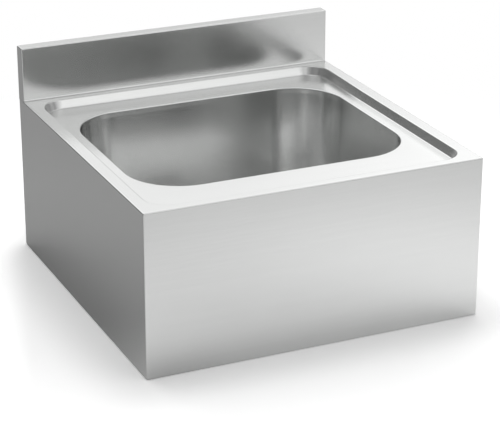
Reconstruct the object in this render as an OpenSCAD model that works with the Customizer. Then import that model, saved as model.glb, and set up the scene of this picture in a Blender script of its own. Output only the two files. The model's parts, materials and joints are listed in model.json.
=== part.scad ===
// Wall-mounted stainless steel sink with a pressed deck, a deep-drawn bowl,
// a backsplash that hooks on a wall rail, and a basket strainer waste.
// X runs side to side, the wall is the plane y = 0 and the front faces -Y.
// The origin is the middle of the two upper wall fixings, on the wall.

/* [Body] */
// Overall width, side to side
body_w = 600; // [580:10:800]
// Overall depth, wall to front
body_d = 610; // [570:10:750]
// Height of the aprons, base to rim
apron_h = 284; // [283:1:400]
// Height of the backsplash above the rim
splash_h = 98; // [84:1:160]
// Depth of the backsplash, wall to front face
splash_d = 24; // [18:1:40]
// Thickness of the stainless sheet
sheet_t = 1.2; // [0.8:0.1:1.5]
// Outside radius of the folded edges
bend_r = 2; // [1.9:0.1:4]
// Width of the fold along the foot of each apron
foot_w = 22; // [15:1:30]
// Width of the fold that lies on the wall at each side
rear_fold_w = 25; // [18:1:40]
// Gap left where two folds meet at a corner
corner_relief = 2; // [1:0.5:4]

/* [Deck] */
// Rim along each side, to the middle of the recess wall
rim_side_w = 25; // [18:1:34]
// Rim along the front, to the middle of the recess wall
rim_front_w = 20; // [14:1:40]
// Shelf behind the recess, from the middle of its wall to the backsplash
rim_rear_w = 20; // [14:1:30]
// Depth of the pressed recess below the rim
recess_depth = 15.5; // [12:0.5:18]
// Corner radius of the recess in plan, at the middle of its wall
recess_r = 40; // [25:1:60]
// Slope of the recess wall from upright, in degrees
recess_slope = 20.5; // [12:0.5:26]
// Radius of the rolled edge at the top of the recess
rim_roll_r = 2; // [1.9:0.1:3.5]
// Radius of the cove at the foot of the recess
recess_cove_r = 2; // [1.5:0.5:3.5]
// Radius of the cove between the deck and the backsplash
splash_cove_r = 2; // [1.5:0.5:5]

/* [Bowl] */
// Inside width of the bowl at the top of its wall
bowl_w = 496; // [400:2:510]
// Inside length of the bowl, front to back
bowl_l = 394; // [380:2:420]
// Depth of the bowl below the recess
bowl_depth = 200; // [150:1:200]
// Distance from the backsplash to the rear wall of the bowl
bowl_rear_gap = 74.5; // [70:0.5:90]
// Corner radius of the bowl in plan
bowl_corner_r = 96; // [70:1:120]
// Radius between the walls and the floor of the bowl
bowl_floor_r = 35; // [20:1:45]
// Slope of the bowl walls from upright, in degrees
bowl_draft = 2; // [0.5:0.5:4]
// Radius of the rolled edge round the bowl
bowl_roll_r = 2; // [1.9:0.1:4]
// Upright lip below the rolled edge, down to the weld
bowl_lip_h = 8; // [5:1:10]
// Radius of the dished part of the floor
dish_r = 140; // [90:1:144]
// Fall of the dished floor to the waste
dish_fall = 4; // [2:0.5:5]
// Depth of the pressed seat for the waste flange
seat_depth = 2.5; // [2:0.1:4]

/* [Stiffeners] */
// Height of the stiffening channels under the deck
channel_h = 18; // [12:1:30]
// Width of each channel's welding flange
channel_flange = 10; // [8:1:14]
// Free strip left beside each channel
channel_margin = 3; // [2:0.5:8]
// Distance from each channel's end to the side of the recess
channel_end_gap = 30; // [15:1:60]
// Height of the tie bar across the back
tie_h = 60; // [50:1:100]
// Depth of the tie bar, wall to front
tie_d = 22; // [20:1:30]
// Height of the tie bar's underside above the base
tie_z = 34; // [30:1:60]

/* [Wall fixing] */
// Thickness of the wall rail and the tie bar
rail_t = 2; // [1.5:0.5:3]
// Height of the rail's foot, which is screwed to the wall
rail_foot_h = 36; // [30:1:50]
// Height of the rail's hook
rail_hook_h = 22; // [15:1:26]
// Height of the fold at the back of the backsplash
splash_hem_h = 36; // [34:1:50]
// Play of the fold in the hook
hook_play = 0.8; // [0.4:0.1:1.5]
// Distance from each end of the rail to the side of the sink
rail_end_gap = 40; // [20:1:80]
// Spacing of the wall fixings, side to side
fixing_spacing = 400; // [300:10:440]
// Diameter of the fixing holes
fixing_d = 9; // [7:0.5:11]
// Length of the slots in the wall rail, end to end
slot_l = 20; // [14:1:30]

/* [Waste] */
// Diameter of the waste hole in the bowl
waste_hole_d = 90; // [88:1:92]
// Outside diameter of the strainer flange
waste_flange_d = 113; // [108:1:118]
// Outside diameter of the strainer cup
waste_cup_d = 86; // [82:1:86]
// Inside depth of the strainer cup, flange to grid
waste_cup_depth = 28; // [26:1:30]
// Diameter of the holes in the strainer's grid
grid_hole_d = 3.8; // [3:0.1:3.9]
// Thickness of the seal under the strainer flange
flange_seal_t = 1; // [0.5:0.1:1.5]
// Thickness of the gasket under the bowl
gasket_t = 3; // [2:0.5:4]
// Wall thickness of the plastic waste body
waste_wall = 3; // [2.5:0.1:4]
// Outside diameter of the outlet thread
outlet_d = 47.8; // [42:0.1:50]
// Length of the outlet thread
outlet_l = 18; // [12:1:18]
// Height of the sloping floor of the waste body
waste_cone_h = 10; // [8:1:12]
// Clearance between the strainer cup and the waste body
waste_play = 3; // [2:0.5:4]
// Diameter of the clamping screw
screw_d = 6; // [5:1:8]
// Radial clearance of the screws in their nuts
screw_play = 0.05; // [0.02:0.01:0.08]

/* [Basket strainer] */
// Play between the basket's rim and the strainer cup
basket_play = 1.3; // [0.8:0.1:2]
// Outside diameter of the basket at its foot
basket_foot_d = 68; // [66:1:72]
// Thickness of the basket's sheet
basket_t = 0.8; // [0.6:0.1:1]
// Distance from the strainer flange down to the basket's rim
basket_drop = 2; // [1:0.5:4]
// Thickness of the basket's rubber seal
basket_seal_t = 3.5; // [3.5:0.1:5]
// Inside diameter of the basket's rubber seal
basket_seal_in_d = 45; // [44:1:54]
// Gap under the seal when the basket is in place
basket_rest_gap = 0.3; // [0.2:0.1:0.5]
// Diameter of the basket's perforations
basket_hole_d = 4; // [3:0.5:4.5]
// Height of the knob above the basket's rim
knob_rise = 12; // [8:1:15]
// Diameter of the knob
knob_d = 24; // [18:1:28]

/* [Sound pads] */
// Distance from each end of a pad to the bowl's corner radius
pad_end_gap = 21; // [5:1:40]
// Distance from each pad to the top and foot of the bowl's flat wall
pad_edge_gap = 28; // [10:1:40]
// Thickness of each pad
pad_t = 3; // [2:0.5:5]

/* [Earthing point] */
// Side of the square earthing lug
lug_w = 18; // [16:1:20]

/* [Hidden] */
$fn = 96;

// Levels, measured from the wall fixings
z_top = rail_foot_h / 2 + rail_t + splash_hem_h;
z_rim = z_top - splash_h;
z_base = z_rim - apron_h;
z_recess = z_rim - recess_depth;
z_weld = z_recess - bowl_roll_r - bowl_lip_h;
z_floor = z_recess - bowl_depth;
z_dish = z_floor - dish_fall;
z_seat = z_dish - seat_depth;

// Plan positions
half_w = body_w / 2;
y_front = -body_d;
y_splash = -splash_d;
y_recess_front = y_front + rim_front_w;
y_recess_rear = y_splash - rim_rear_w;
recess_w = body_w - 2 * rim_side_w;
recess_l = y_recess_rear - y_recess_front;
y_recess = (y_recess_front + y_recess_rear) / 2;
y_bowl_rear = y_splash - bowl_rear_gap;
y_bowl_front = y_bowl_rear - bowl_l;
y_bowl = (y_bowl_front + y_bowl_rear) / 2;

// Recess wall: how far the bends above and below it reach from its middle
function bend_run(r) =
    round(100 * (r + (recess_depth / 2 - r) * sin(recess_slope)) / cos(recess_slope)) / 100;
rim_run = bend_run(rim_roll_r);
floor_run = bend_run(recess_cove_r);

// Bowl wall: where its slope meets the radius of the floor
wall_h = z_weld - z_floor;
wall_run = (wall_h - bowl_floor_r + bowl_floor_r * sin(bowl_draft)) / cos(bowl_draft);
floor_inset = round(100 * (wall_run * sin(bowl_draft) + bowl_floor_r * cos(bowl_draft))) / 100;

// Bends of the channels
bend_in = bend_r - sheet_t;
eps = 0.01;
tangent_lap = 0.002;

// Plan shapes and sections

module rounded_rect(w, l, r) {
    square([w - 2 * r, l], center = true);
    square([w, l - 2 * r], center = true);
    for (x = [-1, 1], y = [-1, 1])
        translate([x * (w / 2 - r), y * (l / 2 - r)]) circle(r);
}

// Quarter of a ring, from the angle start to start + 90
module quarter_ring(r_in, r_out, start) {
    intersection() {
        difference() {
            circle(r_out);
            circle(r_in);
        }
        rotate(start) square(r_out + 1);
    }
}

// Carries a section round a rounded rectangle. In the section, x points
// away from the middle and x = 0 lies on the outline.
module round_the_outline(w, l, r) {
    for (side = [0:3]) {
        across = side % 2 == 0 ? w : l;
        along = (side % 2 == 0 ? l : w) - 2 * r;
        rotate(90 * side) {
            translate([across / 2, 0, 0])
                rotate([90, 0, 0])
                    linear_extrude(along, center = true) children();
            translate([across / 2 - r, along / 2, 0])
                rotate_extrude(angle = 90) translate([r, 0]) children();
        }
    }
}

// Sheet rolled over an edge: it leaves a flat top and ends upright
module roll_section(r) {
    translate([r, -r]) quarter_ring(r - sheet_t, r, 90);
}

// Folded sheet, thickness inwards. The fold's axis is Z and its outside
// faces +X and +Y.
module fold(length) {
    linear_extrude(length) quarter_ring(bend_in, bend_r, 0);
}

// Corner where three folds meet, with its outside towards +X +Y +Z
module fold_corner() {
    rotate_extrude(angle = 90) quarter_ring(bend_in, bend_r, 0);
}

// Box between two corners
module block(low, high) {
    translate(low) cube(high - low);
}

module both_sides() {
    for (side = [0, 1]) mirror([side, 0, 0]) children();
}

// Round-ended slot through Y, centred on its own middle
module wall_slot(length, d, depth) {
    rotate([90, 0, 0]) linear_extrude(depth, center = true) {
        square([length - d, d], center = true);
        for (x = [-1, 1]) translate([x * (length - d) / 2, 0]) circle(d / 2);
    }
}

// Hexagon across flats af
module hexagon(af) {
    circle(af / 2 / cos(30), $fn = 6);
}

// Pressed deck

// Everything under a face that bends down from the rim, slopes down the wall
// of the recess and ends in a cove. The wall's line starts and ends a hair
// inside both circles, so that it crosses them.
module under_face(roll_r, cove_r) {
    inward = [-cos(recess_slope), sin(recess_slope)];
    roll_at = [rim_run, -rim_roll_r];
    cove_at = [-floor_run, recess_cove_r - recess_depth];
    low = -recess_depth - 3 * sheet_t;
    difference() {
        intersection() {
            union() {
                translate(roll_at) circle(roll_r);
                polygon([roll_at + (roll_r - tangent_lap) * inward,
                         cove_at - (cove_r - tangent_lap) * inward,
                         cove_at, [-floor_run, low], [rim_run, low], roll_at]);
            }
            translate([-floor_run, low]) square([floor_run + rim_run, 1 - low]);
        }
        translate(cove_at) circle(cove_r);
    }
}

// Sheet of the recess wall, with x = 0 at its middle
module recess_section() {
    difference() {
        under_face(rim_roll_r, recess_cove_r);
        under_face(rim_roll_r - sheet_t, recess_cove_r + sheet_t);
    }
}

module lip_section() {
    roll_section(bowl_roll_r);
    translate([0, -bowl_roll_r - bowl_lip_h]) square([sheet_t, bowl_lip_h]);
}

module rim_plate() {
    difference() {
        block([-half_w + bend_r, y_front + bend_r, z_rim - sheet_t],
              [half_w - bend_r, y_splash - splash_cove_r, z_rim]);
        translate([0, y_recess, z_rim - 2 * sheet_t]) linear_extrude(3 * sheet_t)
            rounded_rect(recess_w + 2 * rim_run, recess_l + 2 * rim_run,
                         recess_r + rim_run);
    }
}

module recess_floor() {
    difference() {
        translate([0, y_recess, z_recess - sheet_t]) linear_extrude(sheet_t)
            rounded_rect(recess_w - 2 * floor_run, recess_l - 2 * floor_run,
                         recess_r - floor_run);
        translate([0, y_bowl, z_recess - 2 * sheet_t]) linear_extrude(3 * sheet_t)
            rounded_rect(bowl_w + 2 * bowl_roll_r, bowl_l + 2 * bowl_roll_r,
                         bowl_corner_r + bowl_roll_r);
    }
}

module deck_edges() {
    fold_y = y_front + bend_r;
    fold_z = z_rim - bend_r;
    translate([-half_w + bend_r, fold_y, fold_z])
        rotate([90, 0, 90]) mirror([1, 0, 0]) fold(body_w - 2 * bend_r);
    both_sides() {
        translate([half_w - bend_r, y_splash, fold_z])
            rotate([90, 0, 0]) fold(y_splash - fold_y);
        translate([half_w - bend_r, fold_y, fold_z]) mirror([0, 1, 0]) fold_corner();
    }
    translate([-half_w + bend_r, y_splash - splash_cove_r, z_rim + splash_cove_r])
        rotate([90, 0, 90]) linear_extrude(body_w - 2 * bend_r)
            quarter_ring(splash_cove_r, splash_cove_r + sheet_t, -90);
}

module deck() {
    color("gainsboro") union() {
        rim_plate();
        deck_edges();
        translate([0, y_recess, z_rim]) round_the_outline(recess_w, recess_l, recess_r)
            recess_section();
        recess_floor();
        translate([0, y_bowl, z_recess]) round_the_outline(bowl_w, bowl_l, bowl_corner_r)
            lip_section();
    }
}

// Backsplash

module splash_section() {
    fold_z = z_top - bend_r;
    foot_z = z_rim + splash_cove_r;
    translate([y_splash, foot_z]) square([sheet_t, fold_z - foot_z]);
    translate([y_splash + bend_r, fold_z]) quarter_ring(bend_in, bend_r, 90);
    translate([y_splash + bend_r, z_top - sheet_t]) square([splash_d - 2 * bend_r, sheet_t]);
    translate([-bend_r, fold_z]) quarter_ring(bend_in, bend_r, 0);
    translate([-sheet_t, z_top - splash_hem_h]) square([sheet_t, splash_hem_h - bend_r]);
}

module splashback() {
    fold_z = z_top - bend_r;
    color("silver") union() {
        translate([-half_w + bend_r, 0, 0])
            rotate([90, 0, 90]) linear_extrude(body_w - 2 * bend_r) splash_section();
        both_sides() {
            translate([half_w - bend_r, y_splash + bend_r, z_rim - bend_r])
                mirror([0, 1, 0]) fold(splash_h);
            translate([half_w - bend_r, -bend_r, fold_z])
                rotate([90, 0, 0]) fold(splash_d - 2 * bend_r);
            translate([half_w - bend_r, y_splash + bend_r, fold_z])
                mirror([0, 1, 0]) fold_corner();
            translate([half_w - bend_r, -bend_r, fold_z]) fold_corner();
        }
    }
}

module splash_end(side) {
    mirror([side < 0 ? 1 : 0, 0, 0])
        block([half_w - sheet_t, y_splash + bend_r, z_rim - bend_r],
              [half_w, 0, z_top - bend_r]);
}

module splash_end_left() {
    color("silver") splash_end(-1);
}

module splash_end_right() {
    color("silver") splash_end(1);
}

// Aprons

module front_apron() {
    fold_y = y_front + bend_r;
    low = z_base + bend_r;
    high = z_rim - bend_r;
    color("lightgray") union() {
        block([-half_w + bend_r, y_front, low], [half_w - bend_r, y_front + sheet_t, high]);
        translate([-half_w + bend_r, fold_y, low])
            rotate([90, 0, 90]) mirror([1, 0, 0]) mirror([0, 1, 0]) fold(body_w - 2 * bend_r);
        translate([0, 0, z_base]) linear_extrude(sheet_t)
            polygon([[-half_w + bend_r, fold_y], [half_w - bend_r, fold_y],
                     [half_w - foot_w, y_front + foot_w], [-half_w + foot_w, y_front + foot_w]]);
        both_sides() {
            translate([half_w - bend_r, fold_y, low]) mirror([0, 1, 0]) fold(high - low);
            translate([half_w - bend_r, fold_y, low])
                mirror([0, 1, 0]) mirror([0, 0, 1]) fold_corner();
        }
    }
}

module side_apron(side) {
    fold_x = half_w - bend_r;
    low = z_base + bend_r;
    high = z_rim - bend_r;
    front = y_front + bend_r;
    rear = -bend_r - corner_relief;
    mirror([side < 0 ? 1 : 0, 0, 0]) union() {
        block([half_w - sheet_t, front, low], [half_w, -bend_r, high]);
        translate([fold_x, rear, low])
            rotate([90, 0, 0]) mirror([0, 1, 0]) fold(rear - front);
        translate([0, 0, z_base]) linear_extrude(sheet_t)
            polygon([[fold_x, front], [fold_x, rear],
                     [half_w - foot_w, rear], [half_w - foot_w, y_front + foot_w]]);
        translate([fold_x, -bend_r, low + corner_relief]) fold(high - low - corner_relief);
        block([half_w - rear_fold_w, -sheet_t, low + corner_relief], [fold_x, 0, high]);
    }
}

module side_apron_left() {
    color("darkgray") side_apron(-1);
}

module side_apron_right() {
    color("darkgray") side_apron(1);
}

// Deep-drawn bowl

// Space inside a wall whose floor radius is r, seen from the centre of that
// radius. The wall's line ends a hair inside the circle, so that the two cross.
module wall_space(r, left) {
    outward = [cos(bowl_draft), -sin(bowl_draft)];
    upward = [sin(bowl_draft), cos(bowl_draft)];
    top = r * outward + (wall_run + bowl_floor_r) * upward;
    circle(r);
    polygon([[-left, 0], (r - tangent_lap) * outward, top, [-left, top[1]]]);
}

// Wall and floor radius, with x = 0 at the top of the inside face
module bowl_section() {
    outer_r = bowl_floor_r + sheet_t;
    rise = wall_h - bowl_floor_r;
    translate([-floor_inset, -rise]) intersection() {
        difference() {
            wall_space(outer_r, 1);
            wall_space(bowl_floor_r, 2);
        }
        translate([0, -2 * outer_r]) square([2 * outer_r, 2 * outer_r + rise]);
    }
}

// Dished floor and the seat of the waste flange, as a turned section
module dish_section() {
    seat_r = waste_flange_d / 2 + 1.5;
    lean = sheet_t * tan(22.5);
    hole_r = waste_hole_d / 2;
    dish_lap = 1;
    polygon([
        [dish_r + dish_lap, z_floor], [dish_r, z_floor], [seat_r + seat_depth, z_dish],
        [seat_r, z_seat], [hole_r, z_seat],
        [hole_r, z_seat - sheet_t], [seat_r + lean, z_seat - sheet_t],
        [seat_r + seat_depth + lean, z_dish - sheet_t], [dish_r, z_floor - sheet_t],
        [dish_r + dish_lap, z_floor - sheet_t]
    ]);
}

module bowl() {
    color("darkgray") translate([0, y_bowl, 0]) union() {
        translate([0, 0, z_weld]) round_the_outline(bowl_w, bowl_l, bowl_corner_r)
            bowl_section();
        translate([0, 0, z_floor - sheet_t]) linear_extrude(sheet_t) difference() {
            rounded_rect(bowl_w - 2 * floor_inset, bowl_l - 2 * floor_inset,
                         bowl_corner_r - floor_inset);
            circle(dish_r);
        }
        rotate_extrude() dish_section();
    }
}

// Sound-deadening pads on the outside of the bowl's side walls
module sound_pads() {
    pad_play = 0.05;
    pad_r = 12;
    pad_l = bowl_l - 2 * (bowl_corner_r + pad_end_gap);
    pad_h = wall_run - 2 * pad_edge_gap;
    color("dimgray") both_sides()
        translate([bowl_w / 2 + sheet_t / cos(bowl_draft), y_bowl, z_weld])
            rotate([0, bowl_draft, 0])
                translate([pad_play, 0, -wall_run / 2])
                    rotate([90, 0, 90]) linear_extrude(pad_t) rounded_rect(pad_l, pad_h, pad_r);
}

// Stiffening channels under the deck

// Hat section, flanges up, w across the outside of its webs
module hat_section(w) {
    for (side = [0, 1]) mirror([side, 0]) {
        translate([w / 2 + bend_in, -sheet_t]) square([channel_flange, sheet_t]);
        translate([w / 2 + bend_in, -bend_r]) quarter_ring(bend_in, bend_r, 90);
        translate([w / 2 - sheet_t, -channel_h + bend_r])
            square([sheet_t, channel_h - 2 * bend_r]);
        translate([w / 2 - bend_r, -channel_h + bend_r]) quarter_ring(bend_in, bend_r, -90);
    }
    translate([-w / 2 + bend_r, -channel_h]) square([w - 2 * bend_r, sheet_t]);
}

// Channel that fills the flat strip between y_low and y_high
module strip_channel(y_low, y_high) {
    w = y_high - y_low - 2 * (channel_flange + bend_in + channel_margin);
    length = recess_w - 2 * channel_end_gap;
    translate([-length / 2, (y_low + y_high) / 2, z_recess - sheet_t])
        rotate([90, 0, 90]) linear_extrude(length) hat_section(w);
}

module front_stiffener() {
    color("slategray") strip_channel(y_recess_front + floor_run, y_bowl_front - bowl_roll_r);
}

module rear_stiffener() {
    color("slategray") strip_channel(y_bowl_rear + bowl_roll_r, y_recess_rear - floor_run);
}

// Tie bar across the back, a channel open to the front

module rear_tie_bar() {
    r_out = rail_t + 1;
    low = z_base + tie_z;
    high = low + tie_h;
    back = -sheet_t;
    front = -tie_d;
    length = body_w - 2 * (bend_r + corner_relief);
    color("slategray") difference() {
        translate([-length / 2, 0, 0]) rotate([90, 0, 90]) linear_extrude(length) {
            translate([back - rail_t, low + r_out]) square([rail_t, tie_h - 2 * r_out]);
            translate([back - r_out, high - r_out]) quarter_ring(r_out - rail_t, r_out, 0);
            translate([back - r_out, low + r_out]) quarter_ring(r_out - rail_t, r_out, -90);
            translate([front, high - rail_t]) square([back - r_out - front, rail_t]);
            translate([front, low]) square([back - r_out - front, rail_t]);
        }
        for (side = [-1, 1]) translate([side * fixing_spacing / 2, 0, (low + high) / 2])
            rotate([90, 0, 0]) cylinder(h = 2 * tie_d, d = fixing_d, center = true);
    }
}

// Wall rail: foot on the wall, and a hook in front of it for the backsplash

module wall_rail() {
    foot = rail_foot_h / 2;
    slot_w = sheet_t + hook_play;
    lip = slot_w + rail_t;
    flare_h = 5;
    flare = 1.5;
    length = body_w - 2 * rail_end_gap;
    color("darkslategray") difference() {
        translate([-length / 2, 0, 0]) rotate([90, 0, 90]) linear_extrude(length)
            polygon([
                [0, -foot], [0, foot + rail_t], [-slot_w, foot + rail_t],
                [-slot_w, foot + rail_t + rail_hook_h - flare_h],
                [-slot_w - flare, foot + rail_t + rail_hook_h],
                [-lip - flare, foot + rail_t + rail_hook_h],
                [-lip, foot + rail_t + rail_hook_h - flare_h],
                [-lip, foot], [-rail_t, foot], [-rail_t, -foot]
            ]);
        for (side = [-1, 1]) translate([side * fixing_spacing / 2, 0, 0])
            wall_slot(slot_l, fixing_d, 4 * lip);
    }
}

// Earthing point: a lug on the tie bar with its screw, washers and nut

lug_z = z_base + tie_z + tie_h / 2;
lug_y = -sheet_t - rail_t - lug_w / 2;
nut_af = screw_d + 4;
nut_h = 5;
washer_d = 2 * screw_d;
washer_t = 1.2;
screw_end = 2;
hex_head_h = 4;

module earth_lug() {
    color("slategray") translate([0, lug_y, lug_z]) difference() {
        linear_extrude(rail_t) square(lug_w, center = true);
        translate([0, 0, -rail_t]) cylinder(h = 3 * rail_t, d = screw_d + 0.6);
    }
}

module earth_screw() {
    shank = rail_t + washer_t + nut_h + screw_end;
    color("silver") translate([0, lug_y, lug_z + rail_t]) {
        translate([0, 0, -shank]) cylinder(h = shank + eps, r = screw_d / 2 - screw_play);
        linear_extrude(hex_head_h) hexagon(nut_af);
    }
}

// Washer and nut under the lug
module earth_nut() {
    color("silver") translate([0, lug_y, lug_z]) difference() {
        union() {
            translate([0, 0, -washer_t]) cylinder(h = washer_t, d = washer_d);
            translate([0, 0, -washer_t - nut_h]) linear_extrude(nut_h) hexagon(nut_af);
        }
        translate([0, 0, -washer_t - nut_h - 1])
            cylinder(h = washer_t + nut_h + 2, d = screw_d);
    }
}

// Strainer waste, from the flange down

flange_z = z_seat + flange_seal_t;
flange_top = flange_z + sheet_t;
cup_r = waste_cup_d / 2;
grid_z = flange_top - waste_cup_depth;
gasket_z = z_seat - sheet_t - gasket_t;
seal_r = waste_flange_d / 2 - 1;
body_flange_t = 4;
outlet_wall = 3.9;
outlet_collar = 4;
body_r = cup_r + waste_play + waste_wall;
cone_top = grid_z - sheet_t - 2;
outlet_top = cone_top - waste_cone_h - 2;
outlet_z = outlet_top - outlet_l;
hub_r = nut_af / 2 / cos(30) + 2.2;
hub_z = cone_top - waste_cone_h;
screw_head_d = 14;
screw_head_h = 2.4;

module cup_section() {
    throat = 3;
    cove = 5;
    translate([cup_r + throat - sheet_t, flange_z])
        square([waste_flange_d / 2 - cup_r - throat, sheet_t]);
    translate([cup_r + throat - sheet_t, flange_top - throat])
        quarter_ring(throat - sheet_t, throat, 90);
    translate([cup_r - sheet_t, grid_z + cove])
        square([sheet_t, waste_cup_depth - throat - cove]);
    translate([cup_r - sheet_t - cove, grid_z + cove]) quarter_ring(cove, cove + sheet_t, -90);
    translate([0, grid_z - sheet_t]) square([cup_r - sheet_t - cove, sheet_t]);
}

// Ring of equal upright holes
module hole_ring(count, r, d, z) {
    for (i = [0:count - 1]) rotate(360 * i / count)
        translate([r, 0, z - 5]) cylinder(h = 10, d = d, $fn = 24);
}

module strainer_flange() {
    color("silver") translate([0, y_bowl, 0]) difference() {
        rotate_extrude() cup_section();
        translate([0, 0, grid_z - 5]) cylinder(h = 10, d = screw_d + 0.4);
        hole_ring(10, 11.5, grid_hole_d, grid_z);
        hole_ring(16, 18, grid_hole_d, grid_z);
    }
}

module ring(r_in, r_out, z, h) {
    translate([0, y_bowl, z]) difference() {
        cylinder(h = h, r = r_out);
        translate([0, 0, -1]) cylinder(h = h + 2, r = r_in);
    }
}

module flange_seal() {
    color("black") ring(waste_hole_d / 2 + 2.5, seal_r, z_seat, flange_seal_t);
}

module waste_gasket() {
    color("black") ring(waste_hole_d / 2 + 0.5, seal_r, gasket_z, gasket_t);
}

module waste_shell_section() {
    inner = body_r - waste_wall;
    outlet_r = outlet_d / 2;
    outlet_in = outlet_r - outlet_wall;
    polygon([
        [inner, gasket_z], [seal_r, gasket_z], [seal_r, gasket_z - body_flange_t],
        [body_r, gasket_z - body_flange_t], [body_r, cone_top],
        [outlet_r + outlet_collar, outlet_top + 2], [outlet_r + outlet_collar, outlet_top],
        [outlet_r, outlet_top], [outlet_r, outlet_z], [outlet_in, outlet_z],
        [outlet_in, outlet_top + 2], [inner, cone_top + 1]
    ]);
}

module waste_body() {
    web = 3;
    web_h = 6;
    color("dimgray") translate([0, y_bowl, 0]) difference() {
        union() {
            rotate_extrude() waste_shell_section();
            translate([0, 0, hub_z]) cylinder(h = grid_z - sheet_t - hub_z, r = hub_r);
            for (a = [30, 150, 270]) rotate(a)
                block([hub_r - 1, -web / 2, grid_z - sheet_t - web_h - 0.5],
                      [body_r - waste_wall / 2, web / 2, grid_z - sheet_t - 0.5]);
        }
        translate([0, 0, hub_z - 1]) cylinder(h = 20, d = screw_d + 0.4);
        translate([0, 0, hub_z - 1]) linear_extrude(nut_h + 1) hexagon(nut_af + 0.2);
    }
}

module clamp_screw() {
    shank = grid_z - hub_z + 1;
    color("silver") translate([0, y_bowl, grid_z]) difference() {
        union() {
            translate([0, 0, -shank]) cylinder(h = shank + eps, r = screw_d / 2 - screw_play);
            cylinder(h = screw_head_h, d = screw_head_d);
        }
        block([-screw_head_d, -0.8, screw_head_h - 1.4], [screw_head_d, 0.8, screw_head_h + 1]);
    }
}

module clamp_nut() {
    color("goldenrod") translate([0, y_bowl, hub_z]) difference() {
        linear_extrude(nut_h) hexagon(nut_af);
        translate([0, 0, -1]) cylinder(h = nut_h + 2, d = screw_d);
    }
}

// Lift-out basket strainer

basket_z = grid_z + basket_rest_gap + basket_seal_t;
basket_top = flange_top - basket_drop;
basket_r = cup_r - sheet_t - basket_play;
basket_foot_r = basket_foot_d / 2;
basket_mouth_r = basket_r - 3;
stem_d = 6;

module basket_section() {
    polygon([
        [0, basket_z], [basket_foot_r, basket_z], [basket_mouth_r, basket_top - basket_t],
        [basket_r, basket_top - basket_t], [basket_r, basket_top],
        [basket_mouth_r - basket_t, basket_top], [basket_foot_r - basket_t, basket_z + basket_t],
        [0, basket_z + basket_t]
    ]);
}

module basket() {
    depth = basket_top - basket_z;
    wall_r = (basket_foot_r + basket_mouth_r) / 2;
    color("silver") translate([0, y_bowl, 0]) difference() {
        rotate_extrude() basket_section();
        translate([0, 0, basket_z - 1]) cylinder(h = 3, d = stem_d + 0.1);
        hole_ring(8, 12, basket_hole_d, basket_z);
        hole_ring(14, 19, basket_hole_d, basket_z);
        for (row = [0, 1], i = [0:17]) rotate(20 * (i + row / 2))
            translate([wall_r - 6, 0, basket_z + depth * (0.36 + 0.32 * row)])
                rotate([0, 90, 0]) cylinder(h = 12, d = basket_hole_d, $fn = 24);
    }
}

module basket_seal() {
    color("black")
        ring(basket_seal_in_d / 2, basket_foot_r - 2, grid_z + basket_rest_gap, basket_seal_t);
}

module knob_section() {
    stem_r = stem_d / 2;
    knob_r = knob_d / 2;
    collar_r = stem_r + 3.5;
    waist_r = stem_r + 1;
    crown = 3;
    edge = 2;
    top = basket_top + knob_rise;
    foot = basket_z + basket_t;
    dome_r = (knob_r * knob_r + crown * crown) / (2 * crown);
    polygon([
        [0, basket_z], [stem_r, basket_z], [stem_r, foot], [collar_r, foot],
        [collar_r, foot + 2], [waist_r, foot + 4], [waist_r, top - crown - edge - 5],
        [knob_r - 3, top - crown - edge - 1], [knob_r, top - crown - edge],
        [knob_r, top - crown], [0, top - crown]
    ]);
    intersection() {
        translate([0, top - crown - eps]) square([knob_r, crown + 1]);
        translate([0, top - dome_r]) circle(dome_r);
    }
}

module basket_knob() {
    color("silver") translate([0, y_bowl, 0]) rotate_extrude() knob_section();
}

deck();
splashback();
splash_end_left();
splash_end_right();
front_apron();
side_apron_left();
side_apron_right();
bowl();
sound_pads();
front_stiffener();
rear_stiffener();
rear_tie_bar();
wall_rail();
earth_lug();
earth_screw();
earth_nut();
strainer_flange();
flange_seal();
waste_gasket();
waste_body();
clamp_screw();
clamp_nut();
basket();
basket_seal();
basket_knob();
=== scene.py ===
import json
import math

import bpy
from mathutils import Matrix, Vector


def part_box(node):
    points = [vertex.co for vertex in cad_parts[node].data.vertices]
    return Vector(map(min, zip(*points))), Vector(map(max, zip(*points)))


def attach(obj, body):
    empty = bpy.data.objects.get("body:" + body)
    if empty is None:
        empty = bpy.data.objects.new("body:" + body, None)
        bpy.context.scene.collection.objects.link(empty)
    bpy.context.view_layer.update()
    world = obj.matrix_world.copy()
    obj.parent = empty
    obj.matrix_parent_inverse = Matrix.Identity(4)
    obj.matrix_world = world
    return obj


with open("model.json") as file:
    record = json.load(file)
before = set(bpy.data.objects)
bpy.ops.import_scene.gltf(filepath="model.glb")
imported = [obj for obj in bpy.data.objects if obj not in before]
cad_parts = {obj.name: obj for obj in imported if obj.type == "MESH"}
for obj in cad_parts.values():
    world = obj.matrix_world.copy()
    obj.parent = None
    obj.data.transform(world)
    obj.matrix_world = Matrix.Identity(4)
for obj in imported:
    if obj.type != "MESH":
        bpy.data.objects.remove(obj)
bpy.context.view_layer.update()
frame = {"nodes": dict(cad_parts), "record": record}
nodes = frame["nodes"]

# Camera: the photograph's place and angle, with a long lens
CAMERA_PLACE = (-1.2681, -3.1552, 1.0559)
CAMERA_TURN = -24.26
CAMERA_FALL = 21.92
LENS_MM = 138.44
SENSOR_MM = 36.0

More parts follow.
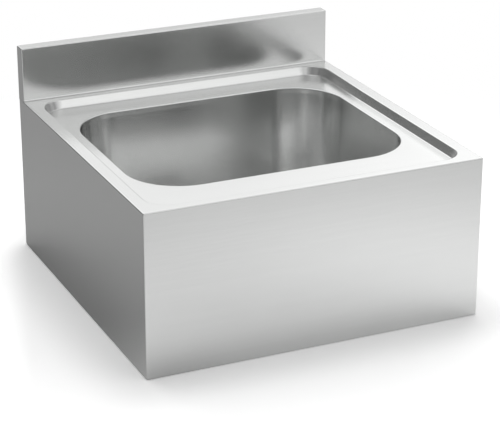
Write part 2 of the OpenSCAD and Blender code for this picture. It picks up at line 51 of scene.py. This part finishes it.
# Studio: the grey of the room's light, and soft boxes in its sky, as azimuth from the front
# towards +X, elevation, half width and strength. The strengths were set by comparing the
# render's tones with the photograph's.
ROOM_GREY = 0.8
SOFT_BOXES = (
    (0, 8, 30, 0.80), (30, 8, 30, 0.73), (60, 8, 30, 0.28), (90, 8, 30, 0.40),
    (120, 8, 30, 0.34), (150, 8, 30, 0.33), (240, 8, 30, 0.35), (270, 8, 30, 0.10),
    (300, 8, 30, 0.35), (330, 8, 30, 0.15),
    (0, 30, 24, 0.14), (22.5, 30, 24, 0.25), (45, 30, 24, 0.15), (67.5, 30, 24, 0.31),
    (90, 30, 24, 0.49), (112.5, 30, 24, 0.06), (135, 30, 24, 1.15), (157.5, 30, 24, 0.97),
    (180, 30, 24, 0.95), (202.5, 30, 24, 0.90), (225, 30, 24, 0.26), (247.5, 30, 24, 0.55),
    (270, 30, 24, 0.12), (292.5, 30, 24, 0.10), (337.5, 30, 24, 0.46),
    (0, 52, 26, 0.25), (30, 52, 26, 0.70), (60, 52, 26, 0.79), (90, 52, 26, 0.13),
    (120, 52, 26, 0.80), (150, 52, 26, 0.44), (180, 52, 26, 0.60), (210, 52, 26, 0.70),
    (240, 52, 26, 0.15), (270, 52, 26, 0.33), (300, 52, 26, 0.27), (330, 52, 26, 0.42),
    (120, 72, 26, 0.60), (180, 72, 26, 0.50), (240, 72, 26, 0.75), (300, 72, 26, 0.40),
    (23, 13, 14, 0.75),
)

# Floor: its half size, its own grey, the gain that shows its lit part as white, how dark the
# painted shadow right beside the object is and how far it reaches, and where it fades to plain
# white
FLOOR_REACH = 30.0
FLOOR_GREY = 0.95
FLOOR_GAIN = 1.44
PAINTED_CONTACT_SHADE = 0.8
PAINTED_CONTACT_REACH = 0.12
FLOOR_FADE = (0.65, 1.15)
# Painted light on the floor, as extra gains that the camera sees, each as azimuth, from and to
# which
# place along it, and the gain at each end: one for the middle and the right, one where the shadow
# at the left ends
PAINTED_CAMERA_GAINS = ((90, -0.65, -0.1, 0.0, 0.1), (72.5, -0.425, -0.372, 0.17, 0.0))
# Painted light and shade on the floor for mirror rays, as the share of the floor's light they
# find:
# lower at the left, and at the front as from and to which distance with the share at each end;
# the soft border between them as azimuth, from and to; and a painted pool of light at the right,
# as x, y, inner and outer radius and extra share
PAINTED_MIRROR_LEFT = 0.36
PAINTED_MIRROR_FRONT = (0.5, 1.1, 0.88, 0.73)
PAINTED_MIRROR_BORDER = (20, -0.1, 0.35)
PAINTED_MIRROR_POOL = (0.45, -0.55, 0.15, 0.6, 0.14)

# Satin sheet: strokes per metre across and along, scuffs as a share of those, smears per
# metre, how much each varies roughness or grey, and how deep the strokes are
STROKES_ACROSS = 2200.0
STROKES_ALONG = 20.0
SCUFF_SHARE = 1 / 6
SMEARS = 6.0
STROKE_ROUGHNESS = 0.02
SMEAR_ROUGHNESS = 0.012
SCUFF_GREY = 0.006
SMEAR_GREY = 0.005
GREEN_TINT = 0.005
STROKE_BUMP = (0.006, 0.0001)
# The part of a noise's range that is spread over the whole of what it varies
NOISE_RANGE = (0.3, 0.7)
SMEAR_RANGE = (0.35, 0.65)

# Name: grey, roughness, and which way the strokes run
# The deck, splash, aprons and bowl are one steel; their greys differ only to make each part
# lighter or darker, the bowl lightest and the splash darkest: painted light and shade
SATIN_LOOKS = {
    "deck_steel": (0.71, 0.22, "x"),
    "splash_steel": (0.66, 0.22, "x"),
    "apron_steel": (0.7, 0.22, "x"),
    "bowl_steel": (0.73, 0.21, "round"),
    "channel_steel": (0.58, 0.34, "x"),
    "rail_steel": (0.55, 0.4, "x"),
}
# Name: colour, roughness, metallic, grains per metre, and strength of the dents
PLAIN_LOOKS = {
    "joint_steel": ((0.12, 0.12, 0.12), 0.5, 1.0, 500.0, 0.0),
    "weld_steel": ((0.5, 0.47, 0.44), 0.35, 1.0, 500.0, 0.4),
    "screw_steel": ((0.66, 0.66, 0.67), 0.22, 1.0, 900.0, 0.0),
    "polished_steel": ((0.7, 0.7, 0.7), 0.12, 1.0, 300.0, 0.0),
    "nut_brass": ((0.72, 0.55, 0.27), 0.3, 1.0, 700.0, 0.0),
    "seal_rubber": ((0.03, 0.03, 0.03), 0.62, 0.0, 2000.0, 0.3),
    "pad_rubber": ((0.055, 0.055, 0.06), 0.8, 0.0, 700.0, 0.8),
    "waste_plastic": ((0.06, 0.06, 0.065), 0.45, 0.0, 1500.0, 0.3),
}
# How much the grain varies roughness and colour, and how deep the dents are
GRAIN_ROUGHNESS = (0.85, 1.15)
GRAIN_SHADE = (0.92, 1.08)
DENT_DEPTH = 0.0003

# Sheet: its thickness and the outside radius of its folds
SHEET = 0.0012
BEND = 0.002
# Weld beads: the directions in which a lying and an upright one stand out, the step between
# ripples, the sides of a bead, and its radius in and on a ripple and at an open end
LYING, UPRIGHT = Vector((0, 0, 1)), Vector((0, 1, 0))
RIPPLE = 0.0014
BEAD_SIDES = 8
BEAD_WAVE = (0.9, 1.1)
BEAD_END = 0.45
# Steps in a quarter turn of the bowl's seam
QUARTER_STEPS = 24
# Screw thread: half the width of a ridge at its foot and at its crest, as shares of the pitch
RIDGE_FOOT, RIDGE_CREST = 0.36, 0.08


def make_camera():
    data = bpy.data.cameras.new("camera")
    data.lens = LENS_MM
    data.sensor_width = SENSOR_MM
    camera = bpy.data.objects.new("camera", data)
    camera.location = CAMERA_PLACE
    camera.rotation_euler = (math.radians(90 - CAMERA_FALL), 0, math.radians(CAMERA_TURN))
    bpy.context.scene.collection.objects.link(camera)
    bpy.context.scene.camera = camera


# Shader nodes

class Shader:
    """Shorthand for making and linking shader nodes; an input is its name, or _ and its number"""

    def __init__(self, tree):
        self.tree = tree
        self.tree.nodes.clear()

    def node(self, kind, settings=None, **inputs):
        made = self.tree.nodes.new(kind)
        for name, value in (settings or {}).items():
            setattr(made, name, value)
        for name, value in inputs.items():
            self.plug(made.inputs[self.socket(name)], value)
        return made

    @staticmethod
    def socket(name):
        return int(name[1:]) if name[0] == "_" else name.replace("_", " ")

    def plug(self, socket, value):
        if isinstance(value, bpy.types.NodeSocket):
            self.tree.links.new(value, socket)
        else:
            socket.default_value = value

    def math(self, operation, a, b=0.0):
        return self.node("ShaderNodeMath", {"operation": operation}, _0=a, _1=b).outputs[0]

    def vector(self, operation, a, b=(0.0, 0.0, 0.0)):
        made = self.node("ShaderNodeVectorMath", {"operation": operation}, _0=a, _1=b)
        return made.outputs["Value" if operation in ("DOT_PRODUCT", "LENGTH") else 0]

    def ramp(self, value, low, high, out_low, out_high):
        made = self.node(
            "ShaderNodeMapRange", {"interpolation_type": "SMOOTHSTEP"},
            Value=value, From_Min=low, From_Max=high, To_Min=out_low, To_Max=out_high,
        )
        return made.outputs[0]

    def noise(self, place, scale, detail):
        made = self.node("ShaderNodeTexNoise", Vector=place, Scale=scale, Detail=detail)
        return made.outputs[0]

    def grey(self, level):
        return self.node("ShaderNodeCombineXYZ", _0=level, _1=level, _2=level).outputs[0]

    def mix(self, share, first, second):
        """Node that shows the first node's shader, and the second's where share is 1"""
        return self.node(
            "ShaderNodeMixShader", _0=share, _1=first.outputs[0], _2=second.outputs[0]
        )

    def straight_view(self):
        """The light path node, and 1 for rays that see the background as the camera does"""
        path = self.node("ShaderNodeLightPath").outputs
        return path, self.math("MAXIMUM", path["Is Camera Ray"], path["Is Transmission Ray"])


def new_material(name):
    material = bpy.data.materials.new(name)
    material.use_nodes = True
    return material, Shader(material.node_tree)


# Studio

def direction(azimuth, elevation=0):
    """Unit vector, with the azimuth measured from the front towards +X"""
    a, e = math.radians(azimuth), math.radians(elevation)
    return (math.sin(a) * math.cos(e), -math.cos(a) * math.cos(e), math.sin(e))


def make_world():
    """Soft boxes for the object, plain white where the camera sees past it"""
    world = bpy.data.worlds.new("studio")
    bpy.context.scene.world = world
    world.use_nodes = True
    shader = Shader(world.node_tree)
    way = shader.node("ShaderNodeTexCoord").outputs["Generated"]
    light = 0.0
    for azimuth, elevation, width, strength in SOFT_BOXES:
        toward = shader.vector("DOT_PRODUCT", way, direction(azimuth, elevation))
        edge = math.cos(math.radians(width))
        light = shader.math("ADD", light, shader.ramp(toward, edge, 1.0, 0.0, strength))
    room_colour = (ROOM_GREY, ROOM_GREY, ROOM_GREY, 1)
    room = shader.node("ShaderNodeBackground", Color=room_colour, Strength=light)
    white = shader.node("ShaderNodeBackground", Color=(1, 1, 1, 1), Strength=1.0)
    _, seen = shader.straight_view()
    shown = shader.mix(seen, room, white)
    shader.node("ShaderNodeOutputWorld", Surface=shown.outputs[0])


def painted_camera_gain(shader, flat):
    """Painted light: extra gain of the floor by place, for what the camera sees"""
    gain = 0.0
    for azimuth, start, end, gain_start, gain_end in PAINTED_CAMERA_GAINS:
        along = shader.vector("DOT_PRODUCT", flat, direction(azimuth))
        gain = shader.math("ADD", gain, shader.ramp(along, start, end, gain_start, gain_end))
    return gain


def painted_mirror_share(shader, flat, far, half_width):
    """Share of the floor's light that mirror rays find, by place: painted shade at the left and a
    painted pool of light at the right
    """
    azimuth, start, end = PAINTED_MIRROR_BORDER
    across = shader.vector("DOT_PRODUCT", flat, direction(azimuth))
    beside = shader.vector("DOT_PRODUCT", flat, direction(90))
    painted_shade_left = shader.math("MULTIPLY", shader.ramp(across, start, end, 1.0, 0.0),
                       shader.ramp(beside, -half_width, 0.0, 1.0, 0.0))
    front = shader.ramp(far, *PAINTED_MIRROR_FRONT)
    share = shader.node("ShaderNodeMix", {"data_type": "FLOAT"}, _0=painted_shade_left, _2=front, _3=PAINTED_MIRROR_LEFT)
    pool_x, pool_y, inner, outer, painted_extra = PAINTED_MIRROR_POOL
    from_pool = shader.vector("LENGTH", shader.vector("SUBTRACT", flat, (pool_x, pool_y, 0)))
    return shader.math("ADD", share.outputs[0], shader.ramp(from_pool, inner, outer, painted_extra, 0.0))


def make_floor(level):
    """White floor that keeps the object's real shadow, adds a painted shadow right beside it and
    painted light and shade by place for the camera and for mirror rays, and fades to plain white
    far away
    """
    mesh = bpy.data.meshes.new("floor")
    corners = [(x * FLOOR_REACH, y * FLOOR_REACH, level)
               for x, y in ((-1, -1), (1, -1), (1, 1), (-1, 1))]
    mesh.from_pydata(corners, [], [(0, 1, 2, 3)])
    floor = bpy.data.objects.new("floor", mesh)
    bpy.context.scene.collection.objects.link(floor)
    material, shader = new_material("floor_white")
    mesh.materials.append(material)

    low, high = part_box("deck")
    middle, half = (low + high) / 2, (high - low) / 2
    place = shader.node("ShaderNodeNewGeometry").outputs["Position"]
    off_middle = shader.vector("SUBTRACT", place, tuple(middle))
    flat = shader.vector("MULTIPLY", off_middle, (1, 1, 0))
    far = shader.vector("LENGTH", flat)
    path, seen = shader.straight_view()

    beside = shader.vector("SUBTRACT", shader.vector("ABSOLUTE", flat), (half.x, half.y, 0))
    gap = shader.vector("LENGTH", shader.vector("MAXIMUM", beside))
    pale = FLOOR_GREY * FLOOR_GAIN
    # Painted shadow: the floor's grey is darker right beside the object, on top of its real shadow
    tone = shader.ramp(gap, 0.0, PAINTED_CONTACT_REACH, pale * PAINTED_CONTACT_SHADE, pale)
    # Painted light: the floor seen by the camera is lighter at the middle and right, and at the
    # far left
    painted_extra = shader.math("MULTIPLY", seen, painted_camera_gain(shader, flat))
    tone = shader.math("MULTIPLY", tone, shader.math("ADD", 1.0, painted_extra))
    bright = shader.node("ShaderNodeBsdfDiffuse", Color=shader.grey(tone))
    white = shader.node("ShaderNodeEmission", Color=(1, 1, 1, 1), Strength=1.0)
    background = shader.mix(shader.ramp(far, *FLOOR_FADE, 0.0, 1.0), bright, white)

    # Painted reflection: mirror rays find the floor darker at the left and lighter in a pool at
    # the right
    dark = shader.node("ShaderNodeEmission", Color=(0, 0, 0, 1), Strength=0.0)
    painted_reflection = shader.mix(painted_mirror_share(shader, flat, far, half.x), dark, background)
    lit = shader.node("ShaderNodeBsdfDiffuse", Color=(FLOOR_GREY, FLOOR_GREY, FLOOR_GREY, 1))
    plain = shader.mix(seen, lit, background)
    shown = shader.mix(path["Is Glossy Ray"], plain, painted_reflection)
    shader.node("ShaderNodeOutputMaterial", Surface=shown.outputs[0])


# Finishes

def metal_or_moulded(material, shader, colour, metallic, rough, bump):
    surface = shader.node(
        "ShaderNodeBsdfPrincipled",
        Base_Color=colour, Metallic=metallic, Roughness=rough, Normal=bump.outputs[0],
    )
    shader.node("ShaderNodeOutputMaterial", Surface=surface.outputs[0])
    return material


def satin_steel(name, grey, roughness, along):
    """Satin sheet, with fine strokes along "x" or "round" the bowl, and faint smears"""
    material, shader = new_material(name)
    place = shader.node("ShaderNodeTexCoord").outputs["Object"]
    across_y = STROKES_ACROSS if along == "x" else STROKES_ALONG
    scale = (STROKES_ALONG, across_y, STROKES_ACROSS)
    scuff_scale = tuple(s * SCUFF_SHARE for s in scale)
    strokes = shader.noise(shader.vector("MULTIPLY", place, scale), 1.0, 4.0)
    scuffs = shader.noise(shader.vector("MULTIPLY", place, scuff_scale), 1.0, 2.0)
    smears = shader.noise(place, SMEARS, 3.0)

    def by_stroke(noise, level, spread):
        return shader.ramp(noise, *NOISE_RANGE, level - spread, level + spread)

    def by_smear(spread):
        return shader.ramp(smears, *SMEAR_RANGE, -spread, spread)

    rough = by_stroke(strokes, roughness, STROKE_ROUGHNESS)
    rough = shader.math("ADD", rough, by_smear(SMEAR_ROUGHNESS))
    tone = shader.math("ADD", by_stroke(scuffs, grey, SCUFF_GREY), by_smear(SMEAR_GREY))
    green = shader.math("ADD", tone, GREEN_TINT)
    colour = shader.node("ShaderNodeCombineXYZ", _0=tone, _1=green, _2=tone).outputs[0]
    strength, depth = STROKE_BUMP
    bump = shader.node("ShaderNodeBump", Strength=strength, Distance=depth, Height=strokes)
    return metal_or_moulded(material, shader, colour, 1.0, rough, bump)


def plain_finish(name, colour, roughness, metallic, grain, dent):
    """Turned or moulded finish, with a fine grain that varies its gloss and dents its surface"""
    material, shader = new_material(name)
    place = shader.node("ShaderNodeTexCoord").outputs["Object"]
    cloud = shader.noise(place, grain, 4.0)
    rough = shader.ramp(cloud, *NOISE_RANGE, *(roughness * share for share in GRAIN_ROUGHNESS))
    shade = shader.ramp(cloud, *NOISE_RANGE, *GRAIN_SHADE)
    tint = shader.vector("SCALE", colour)
    shader.plug(tint.node.inputs["Scale"], shade)
    bump = shader.node("ShaderNodeBump", Strength=dent, Distance=DENT_DEPTH, Height=cloud)
    return metal_or_moulded(material, shader, tint, metallic, rough, bump)


finishes = {name: satin_steel(name, *look) for name, look in SATIN_LOOKS.items()}
finishes.update((name, plain_finish(name, *look)) for name, look in PLAIN_LOOKS.items())


def dress_nodes():
    for part in frame["record"]["subparts"]:
        mesh = nodes[part["node"]].data
        mesh.materials.clear()
        mesh.materials.append(finishes[part["material_slot"]])


# Shapes of the details

def add_piece(name, shape, finish, body="sink"):
    points, faces = shape
    mesh = bpy.data.meshes.new(name)
    mesh.from_pydata([tuple(point) for point in points], [], faces)
    mesh.update()
    mesh.polygons.foreach_set("use_smooth", [True] * len(mesh.polygons))
    mesh.materials.append(finishes[finish])
    piece = bpy.data.objects.new(name, mesh)
    bpy.context.scene.collection.objects.link(piece)
    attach(piece, body)


def join_meshes(parts):
    """One list of points and one of faces from several"""
    points, faces = [], []
    for part_points, part_faces in parts:
        shift = len(points)
        points += part_points
        faces += [tuple(corner + shift for corner in face) for face in part_faces]
    return points, faces


def skin_rings(rings, closed=False):
    """Points and faces of a tube through rings of equal size"""
    points = [point for ring in rings for point in ring]
    sides, count = len(rings[0]), len(rings)
    faces = []
    for i in range(count if closed else count - 1):
        here, there = i * sides, (i + 1) % count * sides
        for k in range(sides):
            after = (k + 1) % sides
            faces.append((here + k, here + after, there + after, there + k))
    if not closed:
        faces.append(tuple(range(sides))[::-1])
        faces.append(tuple(range((count - 1) * sides, count * sides)))
    return points, faces


def weld_bead(path, radius, up, closed=False):
    """Bead along path that swells at every ripple and tapers at open ends"""
    rings = []
    last = len(path) - 1
    for i, centre in enumerate(path):
        ahead = path[(i + 1) % len(path)] if closed or i < last else centre
        behind = path[i - 1] if closed or i else centre
        side = (ahead - behind).normalized().cross(up).normalized()
        swell = radius * BEAD_WAVE[i % 2]
        if not closed and i in (0, last):
            swell = radius * BEAD_END
        rings.append([
            centre + swell * (math.cos(turn) * side + math.sin(turn) * up)
            for turn in (math.tau * k / BEAD_SIDES for k in range(BEAD_SIDES))
        ])
    return skin_rings(rings, closed)


def straight_bead(start, end, radius, up):
    start, end = Vector(start), Vector(end)
    count = max(2, round((end - start).length / RIPPLE))
    return weld_bead([start.lerp(end, i / count) for i in range(count + 1)], radius, up)


def rounded_loop(middle, half_x, half_y, radius, z):
    """Even points, of an even number, round a rounded rectangle"""
    corners = []
    for quarter in range(4):
        sign_x = 1 if quarter in (0, 3) else -1
        sign_y = 1 if quarter < 2 else -1
        for k in range(QUARTER_STEPS + 1):
            turn = math.radians(90 * quarter + 90 * k / QUARTER_STEPS)
            corners.append(Vector((
                middle[0] + sign_x * (half_x - radius) + radius * math.cos(turn),
                middle[1] + sign_y * (half_y - radius) + radius * math.sin(turn),
                z,
            )))
    loop = []
    for here, there in zip(corners, corners[1:] + corners[:1]):
        count = max(1, round((there - here).length / RIPPLE))
        loop += [here.lerp(there, i / count) for i in range(count)]
    return loop[:len(loop) // 2 * 2]


def lathe_ring(middle, profile, sides):
    """Low disc under a face that looks down: profile is (radius, drop) from the middle out"""
    rings = []
    for radius, drop in profile:
        rings.append([
            Vector((middle[0] + radius * math.cos(math.tau * k / sides),
                    middle[1] + radius * math.sin(math.tau * k / sides),
                    middle[2] - drop))
            for k in range(sides)
        ])
    return skin_rings(rings[::-1])


def helix(middle, radius, pitch, depth, low, high, sides):
    """Ridge of a screw thread that stands depth proud of radius, and runs out at both ends"""
    rings = []
    steps = round((high - low) / pitch * sides)
    run_out = sides / 4
    for i in range(steps + 1):
        turn = math.tau * i / sides
        out = Vector((math.cos(turn), math.sin(turn), 0))
        centre = Vector((middle[0], middle[1], low + pitch * i / sides))
        root = radius - depth / 2
        crest = radius + depth * min(1.0, i / run_out, (steps - i) / run_out)
        rings.append([
            centre + out * reach + Vector((0, 0, pitch * rise))
            for reach, rise in ((root, -RIDGE_FOOT), (crest, -RIDGE_CREST),
                                (crest, RIDGE_CREST), (root, RIDGE_FOOT))
        ])
    return skin_rings(rings)


# Details: welds, joint lines, threads and grip ribs

def add_corner_welds():
    """Beads inside the front corners, upright and along the mitres of the foot folds"""
    low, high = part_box("front_apron")
    radius, mitre_radius = 0.0012, 0.0011
    above_foot, below_top = 0.006, 0.004
    mitre_start, mitre_end = 0.003, 0.0215
    corner_y = low.y + BEND
    beads = [
        straight_bead((s * (high.x - SHEET), corner_y, low.z + above_foot),
                      (s * (high.x - SHEET), corner_y, high.z - below_top), radius, UPRIGHT)
        for s in (-1, 1)
    ]
    beads += [
        straight_bead((s * (high.x - mitre_start), low.y + mitre_start, low.z + SHEET),
                      (s * (high.x - mitre_end), low.y + mitre_end, low.z + SHEET),
                      mitre_radius, LYING)
        for s in (-1, 1)
    ]
    add_piece("corner_welds", join_meshes(beads), "weld_steel")


def add_deck_stitches():
    """Short beads that join the deck's edge to the inside of the aprons"""
    low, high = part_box("front_apron")
    radius, half_length, count = 0.0011, 0.011, 7
    first_x, step_x = -0.246, 0.082
    first_y, step_y = low.y + 0.055, 0.08
    back_of_front = low.y + SHEET
    beads = []
    for i in range(count):
        x = first_x + step_x * i
        beads.append(straight_bead((x - half_length, back_of_front, high.z),
                                   (x + half_length, back_of_front, high.z), radius, LYING))
    for s in (-1, 1):
        side = s * (high.x - SHEET)
        for i in range(count):
            y = first_y + step_y * i
            beads.append(straight_bead((side, y - half_length, high.z),
                                       (side, y + half_length, high.z), radius, LYING))
    add_piece("deck_stitches", join_meshes(beads), "weld_steel")


def add_tie_bar_welds():
    """Beads at the ends of the rear tie bar, and above and below the earth lug"""
    bar_low, bar_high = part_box("rear_tie_bar")
    radius, start_x, end_x, y, edge = 0.0011, 0.2762, 0.2945, -0.0021, 0.0008
    beads = [
        straight_bead((s * start_x, y, z), (s * end_x, y, z), radius, LYING)
        for s in (-1, 1) for z in (bar_low.z + edge, bar_high.z - edge)
    ]
    lug_low, lug_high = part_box("earth_lug")
    lug_radius, inset, sunk = 0.0008, 0.001, 0.0002
    for z in (lug_low.z, lug_high.z):
        beads.append(straight_bead((lug_low.x + inset, lug_high.y - sunk, z),
                                   (lug_high.x - inset, lug_high.y - sunk, z), lug_radius, LYING))
    add_piece("tie_bar_welds", join_meshes(beads), "weld_steel")


def add_joint_lines():
    """Fine joint lines: the deck's edge on the aprons, and the front corners"""
    low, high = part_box("front_apron")
    proud, half_height, half_width, corner_steps = 0.00004, 0.00012, 0.00008, 8
    plan = [(high.x, -BEND)]
    for k in range(corner_steps + 1):
        turn = math.radians(90 * k / corner_steps)
        plan.append((high.x - BEND + BEND * math.cos(turn), low.y + BEND - BEND * math.sin(turn)))
    plan += [(-x, y) for x, y in reversed(plan)]
    rings = []
    for i, (x, y) in enumerate(plan):
        before, after = Vector(plan[max(i - 1, 0)]), Vector(plan[min(i + 1, len(plan) - 1)])
        along = (after - before).normalized()
        out = Vector((-along.y, along.x, 0)) * proud
        up = Vector((0, 0, half_height))
        at = Vector((x, y, high.z))
        rings.append([at - out, at + up, at + out, at - up])
    parts = [skin_rings(rings)]
    for s in (-1, 1):
        out, aside = Vector((s * proud, 0, 0)), Vector((0, half_width, 0))
        corner = [Vector((s * high.x, low.y + BEND, z)) for z in (low.z + BEND, high.z)]
        parts.append(skin_rings([[at - out, at + aside, at + out, at - aside] for at in corner]))
    add_piece("joint_lines", join_meshes(parts), "joint_steel")


def add_bowl_seam():
    """Seam weld round the outside of the bowl, where it meets the deck"""
    low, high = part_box("bowl")
    corner_radius, radius = 0.0972, 0.0007
    loop = rounded_loop((low + high) / 2, high.x, (high.y - low.y) / 2, corner_radius, high.z)
    add_piece("bowl_seam", weld_bead(loop, radius, LYING, closed=True), "weld_steel")


def add_spot_welds():
    """Marks of the spot welds that hold the channels' flanges to the deck"""
    mark = ((0.0001, 0.0001), (0.0017, 0.0001), (0.0023, 0.0004),
            (0.0029, 0.0004), (0.0036, -0.0002))
    flange, end_gap, gaps, sides = 0.010, 0.02, 10, 16
    discs = []
    for name in ("front_stiffener", "rear_stiffener"):
        low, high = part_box(name)
        for y in (low.y + flange / 2, high.y - flange / 2):
            for i in range(gaps + 1):
                x = low.x + end_gap + (high.x - low.x - 2 * end_gap) * i / gaps
                discs.append(lathe_ring((x, y, high.z - SHEET), mark, sides))
    add_piece("spot_welds", join_meshes(discs), "weld_steel")


def add_threads():
    """Threads of the outlet and of the earthing screw"""
    low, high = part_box("waste_body")
    outlet = helix((low + high) / 2, radius=0.0239, pitch=0.00231, depth=0.0007,
                   low=low.z + 0.0016, high=low.z + 0.0165, sides=48)
    add_piece("outlet_thread", outlet, "waste_plastic")
    low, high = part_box("earth_screw")
    screw = helix((low + high) / 2, radius=0.00295, pitch=0.001, depth=0.00018,
                  low=low.z + 0.0004, high=low.z + 0.002, sides=24)
    add_piece("earth_screw_thread", screw, "screw_steel")


def add_grip_ribs():
    """Upright ribs round the waste body, for turning it by hand; heights are (z, share of size)"""
    low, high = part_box("waste_body")
    middle = (low + high) / 2
    foot, top = low.z + 0.0305, high.z - 0.0042
    radius, count, depth, half_width, sides = 0.0488, 24, 0.0013, 0.0015, 6
    heights = ((foot, 0.2), (foot + 0.0012, 0.8), (foot + 0.003, 1.0), (top, 1.0))
    ribs = []
    for i in range(count):
        turn = math.tau * (i + 0.5) / count
        out = Vector((math.cos(turn), math.sin(turn), 0))
        round_it = Vector((-math.sin(turn), math.cos(turn), 0))
        base = Vector((middle.x, middle.y, 0))
        rings = []
        for z, scale in heights:
            rings.append([
                base + out * (radius + depth * scale * math.sin(a))
                + round_it * half_width * scale * math.cos(a) + Vector((0, 0, z))
                for a in (math.pi * k / sides for k in range(sides + 1))
            ])
        ribs.append(skin_rings(rings))
    add_piece("grip_ribs", join_meshes(ribs), "waste_plastic")


make_camera()
make_world()
make_floor(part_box("front_apron")[0].z)
dress_nodes()
add_corner_welds()
add_deck_stitches()
add_tie_bar_welds()
add_joint_lines()
add_bowl_seam()
add_spot_welds()
add_threads()
add_grip_ribs()

bpy.context.scene.view_settings.view_transform = "Standard"
